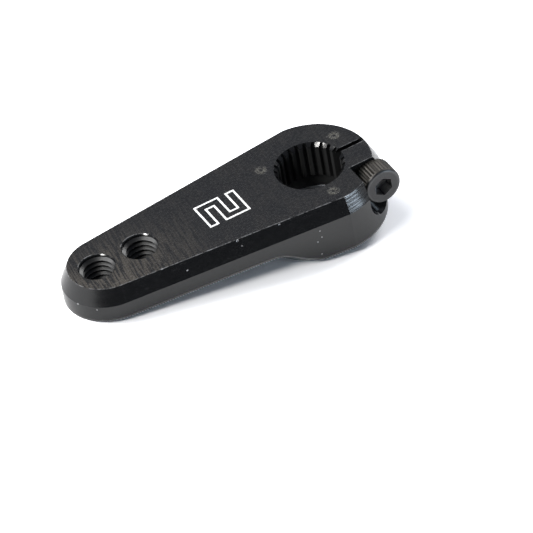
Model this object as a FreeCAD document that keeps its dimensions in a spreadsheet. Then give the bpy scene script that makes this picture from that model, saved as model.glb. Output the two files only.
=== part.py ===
"""Clamping servo horn: one milled aluminium arm on a split, toothed hub, and its clamp screw.

Millimetres. The origin lies on the axis of the toothed bore, in the hub's lower face, where the
horn sits down on the servo. +Z points out of the arm's upper face and +X along the arm. The hub
is split on the -X side, and the clamp screw crosses the split with its head on the +Y side.
"""
import FreeCAD, Part
import math
import os
import Sketcher

os.makedirs("parts", exist_ok=True)
doc = FreeCAD.newDocument("servo_horn")

# Driving sizes: name, value, what it measures
SIZES = [
    ("hub_height", 5.0, "lower face of the hub to the upper face of the horn"),
    ("hub_radius", 5.87, "outer wall of the hub"),
    ("arm_thickness", 2.93, "upper face to underside of the arm"),
    ("tip_radius", 3.89, "outer wall at the round end of the arm"),
    ("tip_reach", 19.2, "bore axis to the centre of the round end"),
    ("side_angle", 93.4, "angle from the arm's line to where a milled side meets the round hub"),
    ("bevel_width", 0.65, "bevel round the upper face, measured inwards"),
    ("bevel_depth", 1.43, "the same bevel, measured downwards"),
    ("hub_fillet", 1.0, "hollow corner between the hub and the arm's underside"),
    ("teeth", 25, "teeth in the bore"),
    ("crest_radius", 2.65, "bore axis to the tooth crests"),
    ("root_radius", 2.95, "bore axis to the bottom of the tooth spaces"),
    ("mouth_angle", 8.6, "angle that a tooth space takes at the crests, in degrees"),
    ("bottom_angle", 4.4, "angle that a tooth space takes at its bottom, in degrees"),
    ("first_angle", 4.6, "angle from the arm's line to the first tooth space, in degrees"),
    ("mouth_bevel", 0.3, "depth of the cone that opens the teeth to the upper face"),
    ("recess_radius", 3.3, "recess in the lower face, round the servo's collar"),
    ("recess_depth", 1.25, "depth of that recess"),
    ("lead_depth", 0.45, "height of the cone that leads from the recess into the teeth"),
    ("split_width", 0.45, "width of the saw cut through the hub"),
    ("split_shift", 0.15, "how far the cut lies off the centre line, away from the screw head"),
    ("screw_inset", 1.45, "hub wall in to the clamp screw axis"),
    ("screw_drop", 1.9, "upper face down to the clamp screw axis"),
    ("seat_reach", 2.3, "centre line to the flat seat of the screw head"),
    ("notch_half", 2.1, "half the width of the screw head's notch, and its bottom's radius"),
    ("notch_shift", 0.18, "how far the notch is centred outside the screw axis"),
    ("notch_sink", 0.25, "how far the notch's round bottom is centred below the screw axis"),
    ("screw_radius", 1.0, "outside of the clamp screw's thread"),
    ("screw_length", 5.0, "clamp screw under its head"),
    ("screw_point", 0.25, "bevel on the screw's end"),
    ("free_gap", 0.1, "gap round the screw in the half that it passes through"),
    ("thread_gap", 0.02, "gap round the screw in the half that it screws into"),
    ("head_radius", 1.62, "clamp screw head"),
    ("head_height", 1.8, "clamp screw head"),
    ("head_round", 0.22, "rounded front edge of the head"),
    ("socket_flats", 1.5, "hexagon socket, across flats"),
    ("socket_depth", 0.95, "hexagon socket"),
    ("knurls", 36, "grooves round the head"),
    ("knurl_depth", 0.07, "depth of those grooves"),
    ("knurl_angle", 6.4, "angle that a groove takes, in degrees"),
    ("link_radius", 1.5, "linkage holes, over the thread"),
    ("link_bevel", 0.08, "bevel at the mouths of the linkage holes"),
    ("link_reach_near", 16.0, "bore axis to the inner linkage hole"),
    ("link_reach_far", 20.0, "bore axis to the outer linkage hole"),
    ("cut_margin", 2.0, "how far cuts run past the metal"),
]

# Heights and places worked out from the driving sizes, then angles in degrees
UNDERSIDE = "sizes.hub_height - sizes.arm_thickness"
SCREW_HEIGHT = "sizes.hub_height - sizes.screw_drop"
SCREW_PLACE = "sizes.screw_inset - sizes.hub_radius"
NOTCH_PLACE = "sizes.screw_inset - sizes.notch_shift - sizes.hub_radius"
PAST_TIP = "sizes.tip_reach + sizes.tip_radius + sizes.cut_margin"
QUARTER_TURN, FULL_TURN = 90, 360
HEXAGON_TURNS = (30, 90, 150, 210, 270, 330)


def make_sheet():
    """Puts the driving sizes in a sheet, one row each."""
    table = doc.addObject("Spreadsheet::Sheet", "sizes")
    for row, (name, value, meaning) in enumerate(SIZES, start=1):
        table.set(f"A{row}", name)
        table.set(f"B{row}", str(value))
        table.setAlias(f"B{row}", name)
        table.set(f"C{row}", meaning)
    doc.recompute()
    return table


def worth(expression):
    """Gives the present value of an expression."""
    return float(sheet.evalExpression(expression.replace("sizes.", "")))


def new_body(name):
    """Adds an empty body whose label names its file."""
    made = doc.addObject("PartDesign::Body", name)
    made.Label = name
    return made


def new_sketch(owner, name, role, height="0"):
    """Adds a sketch on an origin plane of the body, moved along the plane's normal."""
    made = owner.newObject("Sketcher::SketchObject", name)
    plane = next(item for item in owner.Origin.OriginFeatures if item.Role == role)
    made.AttachmentSupport = [(plane, "")]
    made.MapMode = "FlatFace"
    made.setExpression("AttachmentOffset.Base.z", height)
    return made


def tie(sketch, kind, where, expression):
    """Adds a dimension to a sketch and binds it to the sheet."""
    index = sketch.addConstraint(Sketcher.Constraint(kind, *where, worth(expression)))
    sketch.setExpression(f"Constraints[{index}]", expression)


def place_point(sketch, edge, end, across, along):
    """Binds both coordinates of a point of an edge."""
    tie(sketch, "DistanceX", (edge, end), across)
    tie(sketch, "DistanceY", (edge, end), along)


def draw_polygon(sketch, points):
    """Draws a closed outline of straight sides through pairs of expressions."""
    corners = [FreeCAD.Vector(worth(across), worth(along), 0) for across, along in points]
    count = len(corners)
    for index in range(count):
        sketch.addGeometry(Part.LineSegment(corners[index], corners[(index + 1) % count]), False)
    for index in range(count):
        sketch.addConstraint(Sketcher.Constraint("Coincident", index, 2, (index + 1) % count, 1))
    for index, (across, along) in enumerate(points):
        place_point(sketch, index, 1, across, along)


def draw_circle(sketch, across, along, radius):
    """Draws a circle with its centre and radius bound."""
    centre = FreeCAD.Vector(worth(across), worth(along), 0)
    edge = sketch.addGeometry(Part.Circle(centre, FreeCAD.Vector(0, 0, 1), worth(radius)), False)
    place_point(sketch, edge, 3, across, along)
    tie(sketch, "Radius", (edge,), radius)


def arc(across, along, radius, start, end):
    """Makes a counter-clockwise arc between two angles in degrees."""
    ring = Part.Circle(FreeCAD.Vector(across, along, 0), FreeCAD.Vector(0, 0, 1), radius)
    return Part.ArcOfCircle(ring, math.radians(start), math.radians(end))


def add_feature(owner, kind, name, profile, backwards=False, **expressions):
    """Adds a pad, pocket, revolution or groove from a sketch and binds its sizes."""
    made = owner.newObject("PartDesign::" + kind, name)
    made.Profile = profile
    made.Reversed = backwards
    for key, expression in expressions.items():
        made.setExpression(key, expression)
    doc.recompute()
    return made


def cut_through(owner, name, profile, backwards=False):
    """Adds a pocket that runs right through the metal."""
    made = add_feature(owner, "Pocket", name, profile, backwards)
    made.Type = "ThroughAll"
    doc.recompute()
    return made


def cut_round(owner, name, profile):
    """Adds a groove turned round the body's vertical axis."""
    made = add_feature(owner, "Groove", name, profile)
    made.ReferenceAxis = (profile, ["V_Axis"])
    doc.recompute()
    return made


def repeat_round(owner, name, original, count):
    """Repeats a feature evenly round the body's vertical axis."""
    made = owner.newObject("PartDesign::PolarPattern", name)
    made.Originals = [original]
    made.Axis = (original.Profile[0], ["N_Axis"])
    made.Angle = FULL_TURN
    made.setExpression("Occurrences", count)
    owner.Tip = made
    doc.recompute()
    return made


def edges_where(feature, test):
    """Names the edges of a feature that pass a test."""
    return [f"Edge{n}" for n, edge in enumerate(feature.Shape.Edges, start=1) if test(edge)]


def is_rim(edge, radius):
    """Tells whether an edge is a whole circle of the given radius."""
    return (isinstance(edge.Curve, Part.Circle) and edge.isClosed()
            and math.isclose(edge.Curve.Radius, radius, abs_tol=1e-6))


def soften(owner, kind, name, base, edges, **expressions):
    """Adds a fillet or a chamfer on named edges."""
    made = owner.newObject("PartDesign::" + kind, name)
    made.Base = (base, edges)
    for key, expression in expressions.items():
        made.setExpression(key, expression)
    doc.recompute()
    return made


def draw_outline(horn, name, height):
    """Draws a round hub, flat sides that meet it at a faint corner, and a round end."""
    sketch = new_sketch(horn, name, "XY_Plane", height)
    hub, tip = worth("sizes.hub_radius"), worth("sizes.tip_radius")
    reach, start = worth("sizes.tip_reach"), worth("sizes.side_angle")
    hub_arc = arc(0, 0, hub, start, FULL_TURN - start)
    run, rise = reach - hub_arc.StartPoint.x, hub_arc.StartPoint.y
    turn = QUARTER_TURN - math.degrees(math.atan2(rise, run) - math.asin(tip / math.hypot(run, rise)))
    tip_arc = arc(reach, 0, tip, -turn, turn)
    sides = [hub_arc, Part.LineSegment(hub_arc.EndPoint, tip_arc.StartPoint), tip_arc,
             Part.LineSegment(tip_arc.EndPoint, hub_arc.StartPoint)]
    sketch.addGeometry(sides, False)
    sketch.addConstraint([Sketcher.Constraint("Coincident", 0, 2, 1, 1),
                          Sketcher.Constraint("Tangent", 1, 2, 2, 1),
                          Sketcher.Constraint("Tangent", 2, 2, 3, 1),
                          Sketcher.Constraint("Coincident", 3, 2, 0, 1)])
    across = "sizes.hub_radius * sin(sizes.side_angle)"
    place_point(sketch, 0, 3, "0", "0")
    place_point(sketch, 0, 1, "sizes.hub_radius * cos(sizes.side_angle)", across)
    tie(sketch, "DistanceY", (0, 2), "-" + across)
    place_point(sketch, 2, 3, "sizes.tip_reach", "0")
    tie(sketch, "Radius", (2,), "sizes.tip_radius")
    return sketch


def mill_outline(horn):
    """Mills the plate with upright walls, and the upper part of its walls as a steep bevel."""
    foot = "sizes.hub_height - sizes.bevel_depth"
    add_feature(horn, "Pad", "walls", draw_outline(horn, "outline", "0"), Length=foot)
    add_feature(horn, "Pad", "bevel", draw_outline(horn, "bevel_outline", foot),
                Length="sizes.bevel_depth",
                TaperAngle="-atan(sizes.bevel_width / sizes.bevel_depth)")


def clear_underside(horn):
    """Mills the underside of the arm away round the hub, down to a hollow corner."""
    sketch = new_sketch(horn, "underside", "XZ_Plane")
    wall, under = worth("sizes.hub_radius"), worth(UNDERSIDE)
    hollow, far = worth("sizes.hub_fillet"), worth(PAST_TIP)
    below = -worth("sizes.cut_margin")
    bend = arc(wall + hollow, under - hollow, hollow, 90, 180)
    corners = [FreeCAD.Vector(*point, 0) for point in ((wall, below), (far, under), (far, below))]
    sketch.addGeometry([Part.LineSegment(corners[0], bend.EndPoint), bend,
                        Part.LineSegment(bend.StartPoint, corners[1]),
                        Part.LineSegment(corners[1], corners[2]),
                        Part.LineSegment(corners[2], corners[0])], False)
    sketch.addConstraint([Sketcher.Constraint("Tangent", 0, 2, 1, 2),
                          Sketcher.Constraint("Tangent", 1, 1, 2, 1),
                          Sketcher.Constraint("Coincident", 2, 2, 3, 1),
                          Sketcher.Constraint("Coincident", 3, 2, 4, 1),
                          Sketcher.Constraint("Coincident", 4, 2, 0, 1),
                          Sketcher.Constraint("Vertical", 0), Sketcher.Constraint("Horizontal", 2),
                          Sketcher.Constraint("Vertical", 3)])
    place_point(sketch, 0, 1, "sizes.hub_radius", "-sizes.cut_margin")
    place_point(sketch, 3, 1, PAST_TIP, UNDERSIDE)
    tie(sketch, "DistanceY", (3, 2), "-sizes.cut_margin")
    tie(sketch, "Radius", (1,), "sizes.hub_fillet")
    cut_round(horn, "arm_underside", sketch)


def polar_point(radius, aside):
    """Gives a corner of the first tooth space, turned aside from the middle of the space."""
    turn = f"(sizes.first_angle {aside})"
    return f"{radius} * cos{turn}", f"{radius} * sin{turn}"


def broach_bore(horn):
    """Bores the hub to the tooth crests and broaches the spaces between the teeth."""
    bore = new_sketch(horn, "bore", "XY_Plane", "sizes.hub_height")
    draw_circle(bore, "0", "0", "sizes.crest_radius")
    cut_through(horn, "crest_bore", bore)
    space = new_sketch(horn, "space", "XY_Plane", "sizes.hub_height")
    draw_polygon(space, [polar_point("sizes.crest_radius", "- sizes.mouth_angle / 2"),
                         polar_point("sizes.root_radius", "- sizes.bottom_angle / 2"),
                         polar_point("sizes.root_radius", "+ sizes.bottom_angle / 2"),
                         polar_point("sizes.crest_radius", "+ sizes.mouth_angle / 2")])
    first = cut_through(horn, "tooth_space", space)
    repeat_round(horn, "tooth_spaces", first, "sizes.teeth")
    cone = new_sketch(horn, "mouth", "XZ_Plane")
    above = "sizes.hub_height + sizes.cut_margin"
    foot = "sizes.hub_height - sizes.mouth_bevel"
    draw_polygon(cone, [("0", above), ("0", foot), ("sizes.crest_radius", foot),
                        ("sizes.root_radius", "sizes.hub_height"), ("sizes.root_radius", above)])
    cut_round(horn, "tooth_mouth", cone)


def turn_recess(horn):
    """Turns the recess in the hub's lower face and the cone that leads into the teeth."""
    sketch = new_sketch(horn, "recess", "XZ_Plane")
    roof = "sizes.recess_depth + sizes.lead_depth"
    draw_polygon(sketch, [("0", "-sizes.cut_margin"), ("sizes.recess_radius", "-sizes.cut_margin"),
                          ("sizes.recess_radius", "sizes.recess_depth"),
                          ("sizes.crest_radius", roof), ("0", roof)])
    cut_round(horn, "collar_recess", sketch)


def saw_split(horn):
    """Saws the hub open from the bore to its wall, so that the screw can close it."""
    sketch = new_sketch(horn, "split", "XY_Plane", "sizes.hub_height")
    far = "-(sizes.hub_radius + sizes.cut_margin)"
    near_side = "sizes.split_width / 2 - sizes.split_shift"
    far_side = "-sizes.split_width / 2 - sizes.split_shift"
    draw_polygon(sketch, [(far, far_side), ("0", far_side), ("0", near_side), (far, near_side)])
    cut_through(horn, "saw_cut", sketch)


def mill_notch(horn):
    """Mills the notch for the screw head: round at the bottom, open upwards and outwards."""
    sketch = new_sketch(horn, "notch", "XZ_Plane", "-sizes.seat_reach")
    centre, half = worth(NOTCH_PLACE), worth("sizes.notch_half")
    height = worth(SCREW_HEIGHT + " - sizes.notch_sink")
    above = worth("sizes.hub_height + sizes.cut_margin")
    bend = arc(centre, height, half, 180, 360)
    right, left = (FreeCAD.Vector(centre + side * half, above, 0) for side in (1, -1))
    sketch.addGeometry([bend, Part.LineSegment(bend.EndPoint, right),
                        Part.LineSegment(right, left),
                        Part.LineSegment(left, bend.StartPoint)], False)
    sketch.addConstraint([Sketcher.Constraint("Tangent", 0, 2, 1, 1),
                          Sketcher.Constraint("Coincident", 1, 2, 2, 1),
                          Sketcher.Constraint("Coincident", 2, 2, 3, 1),
                          Sketcher.Constraint("Tangent", 3, 2, 0, 1),
                          Sketcher.Constraint("Vertical", 1), Sketcher.Constraint("Horizontal", 2),
                          Sketcher.Constraint("Vertical", 3)])
    place_point(sketch, 0, 3, NOTCH_PLACE, SCREW_HEIGHT + " - sizes.notch_sink")
    tie(sketch, "Radius", (0,), "sizes.notch_half")
    tie(sketch, "DistanceY", (1, 2), "sizes.hub_height + sizes.cut_margin")
    cut_through(horn, "head_notch", sketch)


def drill_clamp_hole(horn):
    """Drills the half under the head clear of the screw, and the other half to its thread."""
    for name, gap, backwards in (("free_half", "sizes.free_gap", False),
                                 ("threaded_half", "sizes.thread_gap", True)):
        sketch = new_sketch(horn, name + "_hole", "XZ_Plane", "sizes.split_shift")
        draw_circle(sketch, SCREW_PLACE, SCREW_HEIGHT, "sizes.screw_radius + " + gap)
        cut_through(horn, name, sketch, backwards)


def drill_link_holes(horn):
    """Drills the two linkage holes near the arm's end and bevels their mouths."""
    sketch = new_sketch(horn, "link_holes", "XY_Plane", "sizes.hub_height")
    for reach in ("sizes.link_reach_near", "sizes.link_reach_far"):
        draw_circle(sketch, reach, "0", "sizes.link_radius")
    holes = cut_through(horn, "links", sketch)
    radius = worth("sizes.link_radius")
    rims = edges_where(holes, lambda edge: is_rim(edge, radius))
    soften(horn, "Chamfer", "link_mouths", holes, rims, Size="sizes.link_bevel")


def make_horn():
    """Builds the arm and hub, one piece of metal."""
    horn = new_body("horn_arm")
    mill_outline(horn)
    clear_underside(horn)
    broach_bore(horn)
    turn_recess(horn)
    saw_split(horn)
    mill_notch(horn)
    drill_clamp_hole(horn)
    drill_link_holes(horn)
    return horn


def knurl_head(screw):
    """Rolls straight grooves into the side of the head, up to its rounded edge."""
    sketch = new_sketch(screw, "groove", "XY_Plane")
    outside = "(sizes.head_radius + sizes.knurl_depth)"
    bottom = "sizes.head_radius - sizes.knurl_depth"
    edge = "sizes.head_radius * tan(sizes.knurl_angle)"
    draw_polygon(sketch, [(bottom, "0"), (outside, "-" + edge), (outside, edge)])
    first = add_feature(screw, "Pocket", "knurl", sketch, True,
                        Length="sizes.head_height - sizes.head_round")
    repeat_round(screw, "knurling", first, "sizes.knurls")


def broach_socket(screw):
    """Broaches the hexagon socket, a corner towards the horn's upper face."""
    sketch = new_sketch(screw, "hexagon", "XY_Plane", "sizes.head_height")
    corner = "sizes.socket_flats / sqrt(3) * "
    draw_polygon(sketch, [(corner + f"cos({turn})", corner + f"sin({turn})")
                          for turn in HEXAGON_TURNS])
    add_feature(screw, "Pocket", "socket", sketch, Length="sizes.socket_depth")


def make_screw():
    """Builds the clamp screw, its head's underside at its own origin, and sets it in its hole."""
    screw = new_body("clamp_screw")
    head = new_sketch(screw, "head_outline", "XY_Plane")
    draw_circle(head, "0", "0", "sizes.head_radius")
    head = add_feature(screw, "Pad", "head", head, Length="sizes.head_height")
    front = worth("sizes.head_height")
    rim = edges_where(head, lambda edge: math.isclose(edge.BoundBox.ZMin, front, abs_tol=1e-6))
    soften(screw, "Fillet", "head_edge", head, rim, Radius="sizes.head_round")
    shank = new_sketch(screw, "shank_outline", "XY_Plane")
    draw_circle(shank, "0", "0", "sizes.screw_radius")
    shank = add_feature(screw, "Pad", "shank", shank, True, Length="sizes.screw_length")
    end = -worth("sizes.screw_length")
    rim = edges_where(shank, lambda edge: math.isclose(edge.BoundBox.ZMax, end, abs_tol=1e-6))
    soften(screw, "Chamfer", "point", shank, rim, Size="sizes.screw_point")
    knurl_head(screw)
    broach_socket(screw)
    screw.Placement.Rotation = FreeCAD.Rotation(FreeCAD.Vector(1, 0, 0), -90)
    screw.setExpression("Placement.Base.x", SCREW_PLACE)
    screw.setExpression("Placement.Base.y", "sizes.seat_reach")
    screw.setExpression("Placement.Base.z", SCREW_HEIGHT)
    return screw


def check_all():
    """Stops if anything in the document failed."""
    for item in doc.Objects:
        if "Invalid" in item.State or "Error" in item.State:
            raise RuntimeError(f"{item.Label} failed: {item.State}")


sheet = make_sheet()
pieces = [make_horn(), make_screw()]
doc.recompute()
check_all()
for piece in pieces:
    if piece.Shape.isNull() or not piece.Shape.isValid() or len(piece.Shape.Solids) != 1:
        raise RuntimeError(f"{piece.Label} is not one sound solid")
for piece in pieces:
    piece.Shape.exportStep(f"parts/{piece.Label}.step")
    print(piece.Label, "volume", round(piece.Shape.Volume, 2), piece.Shape.BoundBox)
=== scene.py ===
from math import acos, asin, atan2, cos, hypot, pi, radians, sin

import bmesh
import bpy
from mathutils import Matrix, Vector


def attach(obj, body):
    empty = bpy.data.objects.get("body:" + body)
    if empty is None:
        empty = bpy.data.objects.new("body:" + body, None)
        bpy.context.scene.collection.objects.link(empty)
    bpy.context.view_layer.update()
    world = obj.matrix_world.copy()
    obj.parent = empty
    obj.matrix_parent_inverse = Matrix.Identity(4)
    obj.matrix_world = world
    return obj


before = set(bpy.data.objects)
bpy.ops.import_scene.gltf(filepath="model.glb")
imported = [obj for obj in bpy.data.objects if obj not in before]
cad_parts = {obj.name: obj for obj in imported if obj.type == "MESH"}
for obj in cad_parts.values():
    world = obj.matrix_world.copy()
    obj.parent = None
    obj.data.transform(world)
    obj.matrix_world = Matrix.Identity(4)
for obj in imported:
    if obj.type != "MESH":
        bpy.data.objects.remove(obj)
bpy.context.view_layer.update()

# The camera stands far off behind a long lens, as in the photograph. It looks down at the
# horn from the side of the screw head, a little tilted, so the arm runs down to the left.
MM = 0.001
camera_turn, camera_height, camera_roll = radians(157.337), radians(40.7735), radians(-10.3597)
camera_aim = Vector((6.424, 2.614, -0.667)) * MM
camera_distance = 796.5 * MM

towards_camera = Vector((sin(camera_turn) * cos(camera_height),
                         -cos(camera_turn) * cos(camera_height), sin(camera_height)))
camera = bpy.data.objects.new("camera", bpy.data.cameras.new("camera"))
camera.data.sensor_width = 36.0
camera.data.lens = 658.2
camera.data.clip_start = 0.02
upright = towards_camera.to_track_quat("Z", "Y").to_matrix()
camera.rotation_euler = (upright @ Matrix.Rotation(camera_roll, 3, "Z")).to_euler()
camera.location = camera_aim + towards_camera * camera_distance
bpy.context.scene.collection.objects.link(camera)
bpy.context.scene.camera = camera
bpy.context.scene.view_settings.view_transform = "Standard"

# A white table. The horn lies on it unheld, tipped onto the lower edge of its hub and the
# underside of its round end, so the table slopes up along the arm in the horn's own frame.
hub_radius, tip_end, arm_underside = 5.87, 23.09, 2.07
table_slope = atan2(arm_underside, tip_end - hub_radius)
table_radius, shade_radius = 450.0, 4.5


def put(tree, kind, values=(), **settings):
    """Adds a node and fills its inputs: a socket is linked, anything else is set."""
    made = tree.nodes.new(kind)
    for name, value in settings.items():
        setattr(made, name, value)
    for name, value in dict(values).items():
        if isinstance(value, bpy.types.NodeSocket):
            tree.links.new(value, made.inputs[name])
        else:
            made.inputs[name].default_value = value
    return made


def reckon(tree, operation, *values, clamp=False):
    """Adds a Math node and gives its result."""
    node = put(tree, "ShaderNodeMath", enumerate(values), operation=operation, use_clamp=clamp)
    return node.outputs[0]


def blend_colour(tree, share, first, second):
    """Mixes two colours by a share from 0 to 1."""
    node = put(tree, "ShaderNodeMix", {0: share, 6: first, 7: second}, data_type="RGBA")
    return node.outputs[2]


def new_material(name):
    """Gives a material with an empty tree and its output node."""
    material = bpy.data.materials.new(name)
    material.use_nodes = True
    material.node_tree.nodes.clear()
    return material, material.node_tree, material.node_tree.nodes.new("ShaderNodeOutputMaterial")


# The table shows white to the camera and in the metal. Under the hub it is painted dark grey,
# a painted shade, where it would otherwise shine up through the bore
table_paint, tree, output = new_material("white_table")
ray = tree.nodes.new("ShaderNodeLightPath")
from_origin = put(tree, "ShaderNodeVectorMath",
                  {0: tree.nodes.new("ShaderNodeTexCoord").outputs["Object"]},
                  operation="LENGTH").outputs["Value"]
painted_shade_under_hub = reckon(tree, "LESS_THAN", from_origin, shade_radius * MM)
seen = reckon(tree, "MAXIMUM", ray.outputs["Is Camera Ray"], ray.outputs["Is Glossy Ray"])
white = blend_colour(tree, seen, (0.8, 0.8, 0.8, 1), (0.95, 0.95, 0.95, 1))
# Painted shade: a dark grey disc on the table round the hub's axis
white = blend_colour(tree, painted_shade_under_hub, white, (0.15, 0.15, 0.15, 1))
lift = reckon(tree, "SUBTRACT", ray.outputs["Is Camera Ray"], painted_shade_under_hub, clamp=True)
lifted = blend_colour(tree, lift, (0, 0, 0, 1), (0.42, 0.42, 0.43, 1))
paints = [put(tree, "ShaderNodeBsdfDiffuse", {0: paint}).outputs[0] for paint in (white, lifted)]
both = put(tree, "ShaderNodeAddShader", enumerate(paints))
tree.links.new(both.outputs[0], output.inputs["Surface"])

table_mesh = bpy.data.meshes.new("table")
form = bmesh.new()
bmesh.ops.create_circle(form, cap_ends=True, segments=96, radius=table_radius * MM)
form.to_mesh(table_mesh)
form.free()
table_mesh.transform(Matrix.Translation((hub_radius * MM, 0, 0))
                     @ Matrix.Rotation(-table_slope, 4, "Y"))
table_mesh.materials.append(table_paint)
table = bpy.data.objects.new("table", table_mesh)
bpy.context.scene.collection.objects.link(table)

# Soft studio light: a wide screen behind on the left, a smaller one on the right, a key lamp
# high on the left, and a cool window low on the right. The room is dark round the table, which
# the polished bevel shows.


def hang_lamp(name, direction, distance, width, height, power, colour):
    """Hangs a rectangular lamp that faces the horn."""
    lamp = bpy.data.lights.new(name, "AREA")
    lamp.shape, lamp.size, lamp.size_y = "RECTANGLE", width, height
    lamp.energy, lamp.color = power, colour
    holder = bpy.data.objects.new(name, lamp)
    direction = Vector(direction).normalized()
    holder.location = camera_aim + direction * distance
    holder.rotation_euler = direction.to_track_quat("Z", "Y").to_euler()
    bpy.context.scene.collection.objects.link(holder)


hang_lamp("back_screen", (0.42, -0.50, 0.76), 0.8, 0.6, 0.6, 8.0, (1.0, 1.0, 1.0))
hang_lamp("side_screen", (-0.80, -0.30, 0.52), 0.8, 0.4, 0.4, 4.0, (1.0, 1.0, 1.0))
hang_lamp("key_lamp", (0.68, 0.17, 0.71), 0.7, 0.22, 0.09, 3.2, (1.0, 0.985, 0.96))
hang_lamp("window", (-0.60, 0.79, 0.075), 0.8, 0.30, 0.11, 2.6, (0.72, 0.86, 1.0))

world = bpy.data.worlds.new("studio")
bpy.context.scene.world = world
world.use_nodes = True
tree = world.node_tree
tree.nodes.clear()
looking = put(tree, "ShaderNodeSeparateXYZ",
              {0: tree.nodes.new("ShaderNodeTexCoord").outputs["Generated"]}).outputs
sky = put(tree, "ShaderNodeMapRange", {"Value": looking["Z"], "From Min": 0.05, "From Max": 0.8,
                                       "To Min": 0.0, "To Max": 1.0}).outputs[0]
near_side = put(tree, "ShaderNodeMapRange",
                {"Value": looking["Y"], "From Min": -0.3, "From Max": 0.6,
                 "To Min": 1.0, "To Max": 0.3}).outputs[0]
room = blend_colour(tree, reckon(tree, "MULTIPLY", sky, near_side), (0.03, 0.032, 0.040, 1),
                    (0.30, 0.32, 0.375, 1))
ray = tree.nodes.new("ShaderNodeLightPath")
shown = blend_colour(tree, ray.outputs["Is Camera Ray"], room, (1, 1, 1, 1))
light = put(tree, "ShaderNodeBackground", {"Color": shown, "Strength": 1.0})
tree.links.new(light.outputs[0], tree.nodes.new("ShaderNodeOutputWorld").inputs["Surface"])

# The horn: hub and arm milled from one piece of aluminium and anodised black. The hub was
# turned, which left fine grooves round its bevel; the flat sides and the face were milled and
# rubbed. Handling has worn the sharp edges to bare metal and left a few nicks.
# The bright lines along the sharp edges are partly worn metal and partly painted highlight, and the
# glints on the far rims of the linkage holes are painted
tip_radius, tip_reach, side_angle = 3.89, 19.2, radians(93.4)
upper_face, bevel_foot, bevel_width = 5.0, 3.57, 0.65
bore_mouth, link_mouth, link_places = 2.95, 1.58, (16.0, 20.0)
split_middle, split_half, seat_reach, recess_reach = -0.15, 0.225, 2.3, 3.4
web_foot, web_slope, foot_bend = 6.06, 1.15, 1.15
far_off, far_rim_glint_to, saw_start = 9.0, -0.9, 0.5 - bore_mouth
anodised_black, worn_black = (0.005, 0.0052, 0.0056, 1), (0.013, 0.0132, 0.0135, 1)
rubbed_brown = (0.100, 0.089, 0.073, 1)
bare_metal_and_highlight, scuffed_brown = (0.50, 0.50, 0.51, 1), (0.085, 0.082, 0.068, 1)
bore_black = (0.016, 0.017, 0.017, 1)


def new_group(name, takes, gives):
    """Starts a shader group and gives its tree, what it takes and what it gives."""
    group = bpy.data.node_groups.new(name, "ShaderNodeTree")
    for way, sockets in (("INPUT", takes), ("OUTPUT", gives)):
        for socket, kind in sockets.items():
            group.interface.new_socket(socket, in_out=way, socket_type="NodeSocket" + kind)
    return (group, group.nodes.new("NodeGroupInput").outputs,
            group.nodes.new("NodeGroupOutput").inputs)


def use_group(tree, group, values):
    """Places a group in a tree, fills what it takes and gives its first result."""
    return put(tree, "ShaderNodeGroup", values, node_tree=group).outputs[0]


def place_in_mm(tree):
    """Gives the place on the piece, in millimetres, and its x, y and z."""
    spot = put(tree, "ShaderNodeVectorMath",
               {0: tree.nodes.new("ShaderNodeTexCoord").outputs["Object"], "Scale": 1 / MM},
               operation="SCALE").outputs[0]
    return (spot, *put(tree, "ShaderNodeSeparateXYZ", {0: spot}).outputs)


def fade(tree, value, near, far):
    """Gives 1 where the value is below near, 0 above far, and a smooth step between."""
    return put(tree, "ShaderNodeMapRange",
               {"Value": value, "From Min": near, "From Max": far, "To Min": 1.0, "To Max": 0.0},
               interpolation_type="SMOOTHSTEP").outputs[0]


def chain(tree, operation, *values):
    """Runs a Math node over several values, one after another."""
    result = values[0]
    for value in values[1:]:
        result = reckon(tree, operation, result, value)
    return result


def from_axis_by(tree, first, second):
    """Gives the distance from an axis, from the two steps away from it."""
    return reckon(tree, "SQRT", reckon(tree, "ADD", reckon(tree, "MULTIPLY", first, first),
                                       reckon(tree, "MULTIPLY", second, second)))


# Strokes: long thin marks that run one way, as a cutter or an abrasive leaves them
strokes, taken, given = new_group(
    "strokes", {"Place": "Vector", "Turn": "Float", "Length": "Float", "Width": "Float"},
    {"Strokes": "Float"})
turned = put(strokes, "ShaderNodeVectorRotate", {"Vector": taken["Place"], "Angle": taken["Turn"]},
             rotation_type="Z_AXIS").outputs[0]
stretch = put(strokes, "ShaderNodeCombineXYZ",
              {0: taken["Length"], 1: taken["Width"], 2: taken["Width"]}).outputs[0]
squeezed = put(strokes, "ShaderNodeVectorMath", {0: turned, 1: stretch},
               operation="DIVIDE").outputs[0]
noise = put(strokes, "ShaderNodeTexNoise", {"Vector": squeezed, "Scale": 1.0, "Detail": 2.5,
                                            "Roughness": 0.62})
strokes.links.new(noise.outputs[0], given["Strokes"])

# Edge band: bare metal within a width of an edge, broken up where the edge was less worn; it
# also draws painted highlights along edges
edge_band, taken, given = new_group(
    "edge_band_mask", {"Place": "Vector", "Distance": "Float", "Width": "Float", "Gaps": "Float"},
    {"Band": "Float"})
patchy = put(edge_band, "ShaderNodeTexNoise", {"Vector": taken["Place"], "Scale": 1.7, "Detail": 4.0,
                                          "Roughness": 0.7}).outputs[0]
kept = put(edge_band, "ShaderNodeMapRange", {"Value": patchy, "From Min": taken["Gaps"],
                                        "From Max": 0.72, "To Min": 0.0, "To Max": 1.0}).outputs[0]
narrow = put(edge_band, "ShaderNodeMapRange",
             {"Value": taken["Distance"], "From Min": 0.0, "From Max": taken["Width"],
              "To Min": 1.0, "To Max": 0.0}, interpolation_type="SMOOTHSTEP").outputs[0]
edge_band.links.new(reckon(edge_band, "MULTIPLY", kept, narrow), given["Band"])

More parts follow.
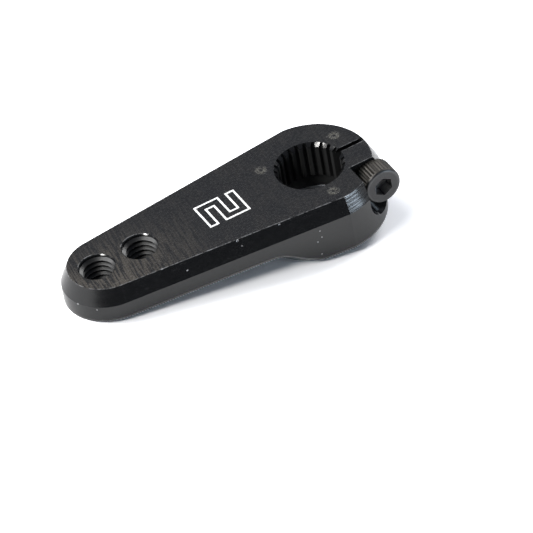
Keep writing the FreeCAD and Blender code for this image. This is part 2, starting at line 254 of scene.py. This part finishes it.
# Nick: a small ragged spot where the finish is knocked off
nick, taken, given = new_group(
    "nick", {"Place": "Vector", "Centre": "Vector", "Radius": "Float"}, {"Nick": "Float"})
ragged = put(nick, "ShaderNodeTexNoise", {"Vector": taken["Place"], "Scale": 9.0,
                                          "Detail": 1.0}).outputs[0]
away = put(nick, "ShaderNodeVectorMath", {0: taken["Place"], 1: taken["Centre"]},
           operation="DISTANCE").outputs["Value"]
share = reckon(nick, "ADD", reckon(nick, "DIVIDE", away, taken["Radius"]),
               reckon(nick, "MULTIPLY", ragged, 0.9))
nick.links.new(fade(nick, share, 0.75, 1.25), given["Nick"])

anodised, tree, output = new_material("black_anodised_aluminium")
spot, x, y, z = place_in_mm(tree)
across = reckon(tree, "ABSOLUTE", y)

# Distance outside the horn's outline: round hub, round end, and the flat side between
rise, run = hub_radius * sin(side_angle), tip_reach - hub_radius * cos(side_angle)
side_turn = pi / 2 - atan2(rise, run) + asin(tip_radius / hypot(run, rise))
flat = Vector((cos(side_turn), sin(side_turn)))
from_hub = from_axis_by(tree, x, across)
along_tip = reckon(tree, "SUBTRACT", x, tip_reach)
from_tip = from_axis_by(tree, along_tip, across)
past_side = reckon(tree, "SUBTRACT",
                   reckon(tree, "ADD", reckon(tree, "MULTIPLY", x, flat.x),
                          reckon(tree, "MULTIPLY", across, flat.y)),
                   tip_reach * flat.x + tip_radius)
on_hub = reckon(tree, "LESS_THAN",
                reckon(tree, "SUBTRACT", reckon(tree, "MULTIPLY", x, sin(side_angle)),
                       reckon(tree, "MULTIPLY", across, cos(side_angle))), 0.0)
on_tip = reckon(tree, "GREATER_THAN",
                reckon(tree, "SUBTRACT", reckon(tree, "MULTIPLY", along_tip, flat.y),
                       reckon(tree, "MULTIPLY", across, flat.x)), 0.0)
outside = put(tree, "ShaderNodeMix", {0: on_tip, 2: past_side,
                                      3: reckon(tree, "SUBTRACT", from_tip, tip_radius)}).outputs[0]
outside = put(tree, "ShaderNodeMix", {0: on_hub, 2: outside,
                                      3: reckon(tree, "SUBTRACT", from_hub, hub_radius)}).outputs[0]

# Distance from the nearest sharp edge of the upper face
edge = reckon(tree, "ABSOLUTE", reckon(tree, "ADD", outside, bevel_width))
for link_place in link_places:
    along = reckon(tree, "SUBTRACT", x, link_place)
    ring = reckon(tree, "ABSOLUTE", reckon(tree, "SUBTRACT", from_axis_by(tree, along, across),
                                           link_mouth))
    # Painted glint: each mouth's band is kept only on its far rim, where the lamp's glint falls
    ring = reckon(tree, "ADD", ring, reckon(tree, "MULTIPLY", far_off,
                                            reckon(tree, "GREATER_THAN", y, far_rim_glint_to)))
    edge = reckon(tree, "MINIMUM", edge, ring)
behind_bore = reckon(tree, "MULTIPLY", reckon(tree, "GREATER_THAN", x, saw_start), far_off)
saw_edge = reckon(tree, "ABSOLUTE", reckon(tree, "SUBTRACT", reckon(
    tree, "ABSOLUTE", reckon(tree, "SUBTRACT", y, split_middle)), split_half))
seat_edge = reckon(tree, "ABSOLUTE", reckon(tree, "SUBTRACT", y, seat_reach))
edge = reckon(tree, "MINIMUM", edge,
              reckon(tree, "ADD", reckon(tree, "MINIMUM", saw_edge, seat_edge), behind_bore))
below = reckon(tree, "SUBTRACT", upper_face, z)
edge = reckon(tree, "ADD", edge, below)
# Bare metal along the sharp edges, worn there and also a painted highlight along them
worn_and_highlit_edges = use_group(tree, edge_band, {"Place": spot, "Distance": edge, "Width": 0.08, "Gaps": 0.42})

# Distance from the lower edge of the side, which runs down from the arm to the hub's foot
foot = reckon(tree, "MULTIPLY", reckon(tree, "SUBTRACT", from_hub, web_foot), web_slope)
foot = reckon(tree, "SMOOTH_MIN", reckon(tree, "MAXIMUM", foot, 0.0), arm_underside,
              foot_bend)
low_edge = reckon(tree, "ADD", reckon(tree, "ABSOLUTE", outside), reckon(
    tree, "MULTIPLY", reckon(tree, "ABSOLUTE", reckon(tree, "SUBTRACT", z, foot)), 0.7))
# Painted highlight: a thin light line along that lower edge, in the colour of bare metal
low_edge_highlight = use_group(tree, edge_band, {"Place": spot, "Distance": low_edge, "Width": 0.15,
                                    "Gaps": 0.20})
worn_and_highlit_edges = reckon(tree, "MAXIMUM", worn_and_highlit_edges, reckon(tree, "MULTIPLY", low_edge_highlight, 0.45))

# Where the face, the turned hub bevel and the flat bevel lie
on_face = reckon(tree, "LESS_THAN", below, 0.004)
upright_part = reckon(tree, "GREATER_THAN", outside, -bevel_width - 0.02)
on_bevel = reckon(tree, "MULTIPLY", reckon(tree, "MULTIPLY", upright_part,
                                           reckon(tree, "GREATER_THAN", z, bevel_foot)),
                  reckon(tree, "SUBTRACT", 1.0, on_face))
on_turned = reckon(tree, "MULTIPLY", on_bevel, on_hub)
on_flat = reckon(tree, "SUBTRACT", on_bevel, on_turned)

# Marks of making, each a height in millimetres
across_arm = use_group(tree, strokes, {"Place": spot, "Turn": radians(-82), "Length": 2.2,
                                       "Width": 0.15})
along_arm = use_group(tree, strokes, {"Place": spot, "Turn": radians(24), "Length": 1.7,
                                      "Width": 0.13})
grain = put(tree, "ShaderNodeTexNoise", {"Vector": spot, "Scale": 4.2, "Detail": 4.0,
                                         "Roughness": 0.75}).outputs[0]
clouds = put(tree, "ShaderNodeTexNoise", {"Vector": spot, "Scale": 0.55, "Detail": 3.0,
                                          "Roughness": 0.6}).outputs[0]
round_and_down = put(tree, "ShaderNodeCombineXYZ",
                     {0: reckon(tree, "MULTIPLY", x, 0.03), 1: reckon(tree, "MULTIPLY", y, 0.03),
                      2: reckon(tree, "MULTIPLY", z, 14.0)}).outputs[0]
grooves = put(tree, "ShaderNodeTexNoise", {"Vector": round_and_down, "Scale": 1.0, "Detail": 1.0,
                                           "Roughness": 0.5}).outputs[0]
chatter = use_group(tree, strokes, {"Place": spot, "Turn": radians(-89), "Length": 9.0,
                                    "Width": 0.16})
chattered = fade(tree, put(tree, "ShaderNodeTexNoise", {"Vector": spot, "Scale": 0.8,
                                                        "Detail": 1.0}).outputs[0], 0.52, 0.40)
relief = reckon(tree, "MULTIPLY", on_face, chain(
    tree, "ADD", reckon(tree, "MULTIPLY", across_arm, 0.006),
    reckon(tree, "MULTIPLY", along_arm, 0.005), reckon(tree, "MULTIPLY", grain, 0.013)))
groove_depth = reckon(tree, "ADD", reckon(tree, "MULTIPLY", on_turned, 0.026), 0.0006)
relief = reckon(tree, "ADD", relief, reckon(tree, "MULTIPLY", grooves, groove_depth))
off_tip = reckon(tree, "SUBTRACT", 1.0, on_tip)
relief = reckon(tree, "ADD", relief,
                chain(tree, "MULTIPLY", on_flat, off_tip, chattered, chatter, 0.012))

# Nicks from handling, and three faint round marks left where the hub was held
nick_places = (((9.22, 4.30, 4.90), 0.16), ((5.50, 4.69, 4.86), 0.11),
               ((9.03, 4.56, 4.38), 0.09), ((15.9, 3.59, 4.98), 0.12),
               ((13.96, 4.16, 4.17), 0.11), ((22.81, 1.44, 3.52), 0.12),
               ((21.84, 2.85, 3.33), 0.10), ((2.46, 5.58, 3.09), 0.08),
               ((2.38, 5.59, 2.40), 0.09), ((2.79, 5.55, 2.06), 0.08),
               ((2.63, 5.56, 0.67), 0.09))
nicks = chain(tree, "MAXIMUM", *(
    use_group(tree, nick, {"Place": spot, "Centre": where, "Radius": radius})
    for where, radius in nick_places))
marks = []
for turn in (90, 210, 330):
    centre = (4.0 * cos(radians(turn)), 4.0 * sin(radians(turn)), upper_face)
    discs = [use_group(tree, nick, {"Place": spot, "Centre": centre, "Radius": radius})
             for radius in (0.72, 0.32)]
    marks.append(reckon(tree, "SUBTRACT", *discs, clamp=True))
held = chain(tree, "MAXIMUM", *marks)
held = reckon(tree, "MULTIPLY", held, fade(tree, grain, 0.50, 0.43))
relief = reckon(tree, "SUBTRACT", relief, reckon(
    tree, "ADD", reckon(tree, "MULTIPLY", nicks, 0.02), reckon(tree, "MULTIPLY", held, 0.02)))

# Colour: dyed black, worn thin in specks and clouds on the face, and browner towards its end,
# with dark strokes left in it; bare metal in the nicks and on the sharp edges, where it is also
# a painted highlight, and a painted glint on the far rims of the linkage holes
specks = fade(tree, reckon(tree, "SUBTRACT", 1.0, grain), 0.40, 0.62)
dye = blend_colour(tree, reckon(tree, "MULTIPLY", specks, reckon(
    tree, "ADD", reckon(tree, "MULTIPLY", on_face, 0.88), 0.12)), anodised_black, worn_black)
towards_tip = put(tree, "ShaderNodeMapRange", {"Value": x, "From Min": 10.5, "From Max": 18.5,
                                               "To Min": 0.0, "To Max": 1.0}).outputs[0]
towards_tip = reckon(tree, "MULTIPLY", towards_tip, fade(
    tree, reckon(tree, "MULTIPLY", y, -1.0), -2.5, 5.0))
cloudy = fade(tree, reckon(tree, "SUBTRACT", 1.0, clouds), 0.42, 0.62)
thin = reckon(tree, "MULTIPLY", on_face, reckon(
    tree, "ADD", reckon(tree, "MULTIPLY", towards_tip, 0.42),
    reckon(tree, "MULTIPLY", cloudy, 0.05)))
thin = reckon(tree, "MULTIPLY", thin, reckon(
    tree, "SUBTRACT", 1.0, reckon(tree, "MULTIPLY", fade(tree, across_arm, 0.43, 0.53), 0.92)))
dye = blend_colour(tree, thin, dye, rubbed_brown)
dye = blend_colour(tree, reckon(tree, "MULTIPLY", held, 0.8), dye, scuffed_brown)
in_bore = reckon(tree, "MULTIPLY", reckon(tree, "LESS_THAN", from_hub, recess_reach),
                 fade(tree, reckon(tree, "MULTIPLY", below, -1.0), -0.5, -0.25))
dye = blend_colour(tree, in_bore, dye, bore_black)
bare_and_highlit = reckon(tree, "MAXIMUM", reckon(tree, "MULTIPLY", worn_and_highlit_edges, 0.75),
              reckon(tree, "MULTIPLY", nicks, 0.9))
colour = blend_colour(tree, bare_and_highlit, dye, bare_metal_and_highlight)
polish = chain(tree, "ADD", 0.12, reckon(tree, "MULTIPLY", grain, 0.08),
               reckon(tree, "MULTIPLY", on_face, 0.11), reckon(tree, "MULTIPLY", on_turned, 0.04),
               reckon(tree, "MULTIPLY", in_bore, 0.55))
bump = put(tree, "ShaderNodeBump", {"Strength": 1.0, "Distance": MM, "Height": relief})
metal = put(tree, "ShaderNodeBsdfPrincipled",
            {"Base Color": colour, "Metallic": bare_and_highlit, "Roughness": polish, "IOR": 1.5,
             "Normal": bump.outputs[0]})
tree.links.new(metal.outputs[0], output.inputs["Surface"])
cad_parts["horn_arm"].material_slots[0].material = anodised

# The web under the arm: the cutter that thinned the arm left a cone between its underside and
# the hub, flush with both sides and blended into the underside. It is the horn's own metal.
web_start, web_rise = hub_radius - 0.02, 0.15
blend_start, blend_corner, blend_end = 7.30, 7.86, 8.71
web_turns, web_rows, sunk, buried = 120, 36, 0.003, 0.03


def web_height(out):
    """Gives the height of the web's lower side at a distance from the hub's axis."""
    if out <= blend_start:
        return max(0.0, web_rise * (out - hub_radius), web_slope * (out - web_foot))
    bend = blend_start - 2 * blend_corner + blend_end
    half = blend_corner - blend_start
    along = (hypot(half, (bend * (out - blend_start)) ** 0.5) - half) / bend
    start = web_slope * (blend_start - web_foot)
    return arm_underside - (arm_underside - start) * (1 - along) ** 2


form = bmesh.new()
sections = []
side_reach = tip_reach * flat.x + tip_radius
widest = side_turn - acos(side_reach / (web_start + sunk))
for step in range(web_turns + 1):
    turn = widest * (2 * step / web_turns - 1)
    facing = Vector((cos(turn), sin(turn)))
    reach = min(blend_end, side_reach / (flat.x * facing.x + flat.y * abs(facing.y)) - sunk)
    steps = [web_start + (reach - web_start) * row / web_rows for row in range(web_rows + 1)]
    section = [(out, web_height(out)) for out in steps]
    section += [(reach, arm_underside + buried), (web_start, arm_underside + buried)]
    sections.append([form.verts.new((facing.x * out * MM, facing.y * out * MM, level * MM))
                     for out, level in section])
for before, after in zip(sections, sections[1:]):
    for row in range(len(before)):
        further = (row + 1) % len(before)
        face = form.faces.new((before[row], before[further], after[further], after[row]))
        face.smooth = row < web_rows
form.faces.new(sections[0])
form.faces.new(reversed(sections[-1]))
bmesh.ops.recalc_face_normals(form, faces=form.faces)
web_mesh = bpy.data.meshes.new("arm_web")
form.to_mesh(web_mesh)
form.free()
web_mesh.materials.append(anodised)
arm_web = bpy.data.objects.new("arm_web", web_mesh)
bpy.context.scene.collection.objects.link(arm_web)
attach(arm_web, "root")

# The threads in the two linkage holes: coarse right-hand M3 turns, cut after the holes were
# drilled, so they are part of the horn's own metal. They run out at both mouths.
link_radius, thread_pitch, thread_depth = 1.5, 0.5, 0.27
lower_cone, upper_cone = 0.3, 0.25

thread_tree = bpy.data.node_groups.new("thread_ridge", "GeometryNodeTree")
for socket, kind, value in (("Radius", "Float", 1.0), ("Pitch", "Float", 0.5),
                            ("Depth", "Float", 0.27), ("Length", "Float", 3.0),
                            ("Material", "Material", None)):
    made = thread_tree.interface.new_socket(socket, in_out="INPUT",
                                            socket_type="NodeSocket" + kind)
    if value is not None:
        made.default_value = value
thread_tree.interface.new_socket("Ridge", in_out="OUTPUT", socket_type="NodeSocketGeometry")
taken = thread_tree.nodes.new("NodeGroupInput").outputs
turns = reckon(thread_tree, "DIVIDE", taken["Length"], taken["Pitch"])
helix = put(thread_tree, "GeometryNodeCurveSpiral",
            {"Resolution": 48, "Rotations": turns, "Start Radius": taken["Radius"],
             "End Radius": taken["Radius"], "Height": taken["Length"], "Reverse": False})
level = put(thread_tree, "GeometryNodeSetCurveNormal", {0: helix.outputs[0]}, mode="Z_UP")
share = put(thread_tree, "GeometryNodeSplineParameter").outputs["Factor"]
from_end = reckon(thread_tree, "MULTIPLY", turns, reckon(
    thread_tree, "MINIMUM", share, reckon(thread_tree, "SUBTRACT", 1.0, share)))
run_out = reckon(thread_tree, "MULTIPLY", from_end, 3.0, clamp=True)
scaled = put(thread_tree, "GeometryNodeSetCurveRadius",
             {"Curve": level.outputs[0], "Radius": reckon(thread_tree, "MAXIMUM", run_out, 0.02)})
profile = thread_tree.nodes.new("GeometryNodeCurvePrimitiveQuadrilateral")
profile.mode = "POINTS"
for number, (inward, aside) in enumerate(((-0.06, -0.47), (1.0, -0.07), (1.0, 0.07),
                                          (-0.06, 0.47)), start=1):
    corner = put(thread_tree, "ShaderNodeCombineXYZ",
                 {0: reckon(thread_tree, "MULTIPLY", taken["Depth"], inward),
                  1: reckon(thread_tree, "MULTIPLY", taken["Pitch"], aside)})
    thread_tree.links.new(corner.outputs[0], profile.inputs[f"Point {number}"])
swept = put(thread_tree, "GeometryNodeCurveToMesh",
            {"Curve": scaled.outputs[0], "Profile Curve": profile.outputs[0], "Fill Caps": True})
thread_tree.links.new(put(thread_tree, "GeometryNodeInputRadius").outputs[0],
                      swept.inputs["Scale"])
flat_faces = put(thread_tree, "GeometryNodeSetShadeSmooth", {0: swept.outputs[0],
                                                             "Shade Smooth": False})
real = put(thread_tree, "GeometryNodeRealizeInstances", {0: flat_faces.outputs[0]})
painted = put(thread_tree, "GeometryNodeSetMaterial", {0: real.outputs[0],
                                                       "Material": taken["Material"]})
thread_tree.links.new(painted.outputs[0], thread_tree.nodes.new("NodeGroupOutput").inputs[0])


def cut_thread(name, values, place):
    """Makes a thread's ridge as a plain mesh, in metres, moved to its hole."""
    holder = bpy.data.objects.new(name, bpy.data.meshes.new(name + "_start"))
    bpy.context.scene.collection.objects.link(holder)
    modifier = holder.modifiers.new("thread", "NODES")
    modifier.node_group = thread_tree
    for item in thread_tree.interface.items_tree:
        if item.in_out == "INPUT" and item.name in values:
            modifier[item.identifier] = values[item.name]
    ready = holder.evaluated_get(bpy.context.evaluated_depsgraph_get())
    mesh = bpy.data.meshes.new_from_object(ready)
    mesh.transform(place @ Matrix.Scale(MM, 4))
    holder.modifiers.clear()
    holder.data = mesh
    return holder


thread_metal, tree, output = new_material("cut_thread")
spot = place_in_mm(tree)[0]
grain = put(tree, "ShaderNodeTexNoise", {"Vector": spot, "Scale": 7.0, "Detail": 3.0,
                                         "Roughness": 0.6}).outputs[0]
bump = put(tree, "ShaderNodeBump", {"Distance": MM, "Height": reckon(tree, "MULTIPLY", grain,
                                                                     0.004)})
dye = blend_colour(tree, grain, (0.004, 0.004, 0.004, 1), (0.012, 0.012, 0.012, 1))
metal = put(tree, "ShaderNodeBsdfPrincipled",
            {"Base Color": dye, "Roughness": reckon(tree, "ADD", 0.30,
                                                    reckon(tree, "MULTIPLY", grain, 0.12)),
             "IOR": 1.5, "Normal": bump.outputs[0]})
tree.links.new(metal.outputs[0], output.inputs["Surface"])

for name, link_place in zip(("link_thread_near", "link_thread_far"), link_places):
    low = arm_underside + lower_cone
    ridge = cut_thread(name, {"Radius": link_radius, "Pitch": thread_pitch,
                              "Depth": thread_depth, "Length": upper_face - low - upper_cone,
                              "Material": thread_metal},
                       Matrix.Translation((link_place * MM, 0, low * MM)))
    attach(ridge, "root")

# The clamp hole's thread shows past the end of the screw, in the wall on the far side. It is
# a finer M2 thread in the same metal.
screw_x, screw_z, screw_end, far_wall = -4.42, 3.1, -2.7, -3.7
tap_radius, tap_pitch, tap_depth, wall_gap, screw_gap = 1.02, 0.4, 0.2, 0.1, 0.15
tap = cut_thread("clamp_thread", {"Radius": tap_radius, "Pitch": tap_pitch, "Depth": tap_depth,
                                  "Length": screw_end - far_wall - wall_gap - screw_gap,
                                  "Material": thread_metal},
                 Matrix.Translation((screw_x * MM, (far_wall + wall_gap) * MM, screw_z * MM))
                 @ Matrix.Rotation(-pi / 2, 4, "X"))
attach(tap, "root")

# A plain block figure 2 in outline, burned white into the upper face by a laser. Its top
# points to the arm's end.
digit_wide, digit_high, digit_stroke, line_width = 3.0, 3.8, 0.86, 0.17
mark_centre, mark_proud, mark_sunk = (8.35, 0.15), 0.003, 0.02

low, high = (digit_high - digit_stroke) / 2, (digit_high + digit_stroke) / 2
right_part, upper_part = digit_wide - digit_stroke, digit_high - digit_stroke
digit = [(0, digit_high), (digit_wide, digit_high), (digit_wide, low), (digit_stroke, low),
         (digit_stroke, digit_stroke), (digit_wide, digit_stroke), (digit_wide, 0), (0, 0),
         (0, high), (right_part, high), (right_part, upper_part), (0, upper_part)]
inner_line = []
for index, (u, v) in enumerate(digit):
    (before_u, before_v), (after_u, after_v) = digit[index - 1], digit[(index + 1) % len(digit)]
    arriving = Vector((u - before_u, v - before_v)).normalized()
    leaving = Vector((after_u - u, after_v - v)).normalized()
    inner_line.append((u + (arriving.y + leaving.y) * line_width,
                       v - (arriving.x + leaving.x) * line_width))

form = bmesh.new()
loops = []
for line in (digit, inner_line):
    for level in (upper_face + mark_proud, upper_face - mark_sunk):
        loops.append([form.verts.new(((mark_centre[0] + v - digit_high / 2) * MM,
                                      (mark_centre[1] - u + digit_wide / 2) * MM, level * MM))
                      for u, v in line])
top, foot, inner_top, inner_foot = loops
for index in range(len(digit)):
    after = (index + 1) % len(digit)
    for one, two in ((top, inner_top), (inner_top, inner_foot), (inner_foot, foot), (foot, top)):
        form.faces.new((one[index], one[after], two[after], two[index]))
bmesh.ops.recalc_face_normals(form, faces=form.faces)
mark_mesh = bpy.data.meshes.new("face_mark")
form.to_mesh(mark_mesh)
form.free()

laser_white, tree, output = new_material("laser_white")
spot = place_in_mm(tree)[0]
scorch = put(tree, "ShaderNodeTexNoise", {"Vector": spot, "Scale": 6.0, "Detail": 3.0}).outputs[0]
burned = blend_colour(tree, fade(tree, scorch, 0.36, 0.52), (0.90, 0.90, 0.89, 1),
                      (0.62, 0.62, 0.61, 1))
bump = put(tree, "ShaderNodeBump", {"Distance": MM, "Height": reckon(tree, "MULTIPLY", scorch,
                                                                     0.01)})
chalky = put(tree, "ShaderNodeBsdfPrincipled", {"Base Color": burned, "Roughness": 0.62,
                                                "Normal": bump.outputs[0]})
tree.links.new(chalky.outputs[0], output.inputs["Surface"])
mark_mesh.materials.append(laser_white)
face_mark = bpy.data.objects.new("face_mark", mark_mesh)
bpy.context.scene.collection.objects.link(face_mark)
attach(face_mark, "root")

# The clamp screw: steel, blackened, with a rolled knurl round its head and a hexagon socket.
# The knurl's ridges are worn a little brighter; the head's rounded edge is worn brighter too and
# carries a painted highlight.
head_seat, head_front, head_radius = 2.3, 4.1, 1.62
steel_dark, worn_and_highlit_steel = (0.068, 0.068, 0.069, 1), (0.15, 0.15, 0.15, 1)
knurl_brown, socket_painted_light = (0.056, 0.052, 0.046, 1), (0.30, 0.30, 0.30, 1)
pitted_black = (0.02, 0.02, 0.02, 1)

steel, tree, output = new_material("blackened_steel")
spot, x, y, z = place_in_mm(tree)
aside = reckon(tree, "SUBTRACT", x, screw_x)
above = reckon(tree, "SUBTRACT", z, screw_z)
from_axis = from_axis_by(tree, aside, above)
from_front = reckon(tree, "SUBTRACT", head_front, y)
on_side = reckon(tree, "MULTIPLY", reckon(tree, "GREATER_THAN", from_axis, head_radius - 0.09),
                 reckon(tree, "GREATER_THAN", from_front, 0.12))
ridge_top = reckon(tree, "SUBTRACT", head_radius + 0.004, from_axis)
rim = reckon(tree, "ABSOLUTE", reckon(tree, "SUBTRACT", from_axis, head_radius - 0.16))
rim = reckon(tree, "ADD", rim, from_front)
ridges = use_group(tree, edge_band, {"Place": spot, "Distance": ridge_top, "Width": 0.05,
                                "Gaps": 0.30})
# Painted highlight on the head's rounded edge, partly wear
rim_worn_and_highlit = use_group(tree, edge_band, {"Place": spot, "Distance": rim, "Width": 0.22, "Gaps": 0.25})
grain = put(tree, "ShaderNodeTexNoise", {"Vector": spot, "Scale": 8.0, "Detail": 4.0,
                                         "Roughness": 0.65}).outputs[0]
faced = put(tree, "ShaderNodeTexNoise",
            {"Vector": put(tree, "ShaderNodeCombineXYZ",
                           {0: reckon(tree, "MULTIPLY", from_axis, 9.0)}).outputs[0],
             "Scale": 1.0, "Detail": 2.0}).outputs[0]
in_socket = reckon(tree, "MULTIPLY", reckon(tree, "LESS_THAN", from_axis, 0.85),
                   reckon(tree, "GREATER_THAN", from_front, 0.03))
colour = blend_colour(tree, on_side, steel_dark, knurl_brown)
# Painted light: the socket's inside is painted light grey, standing in for light that reaches into
# it
colour = blend_colour(tree, in_socket, colour, socket_painted_light)
colour = blend_colour(tree, reckon(tree, "MULTIPLY", grain, 0.35), colour, pitted_black)
colour = blend_colour(tree, chain(tree, "MULTIPLY", ridges, on_side, 0.2), colour, worn_and_highlit_steel)
colour = blend_colour(tree, reckon(tree, "MULTIPLY", rim_worn_and_highlit, 0.5), colour, worn_and_highlit_steel)
relief = reckon(tree, "ADD", reckon(tree, "MULTIPLY", grain, 0.005),
                reckon(tree, "MULTIPLY", faced, 0.006))
bump = put(tree, "ShaderNodeBump", {"Distance": MM, "Height": relief})
metal = put(tree, "ShaderNodeBsdfPrincipled",
            {"Base Color": colour, "Metallic": 1.0,
             "Roughness": chain(tree, "ADD", 0.30, reckon(tree, "MULTIPLY", grain, 0.16),
                                reckon(tree, "MULTIPLY", on_side, 0.12)),
             "Normal": bump.outputs[0]})
tree.links.new(metal.outputs[0], output.inputs["Surface"])
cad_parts["clamp_screw"].material_slots[0].material = steel
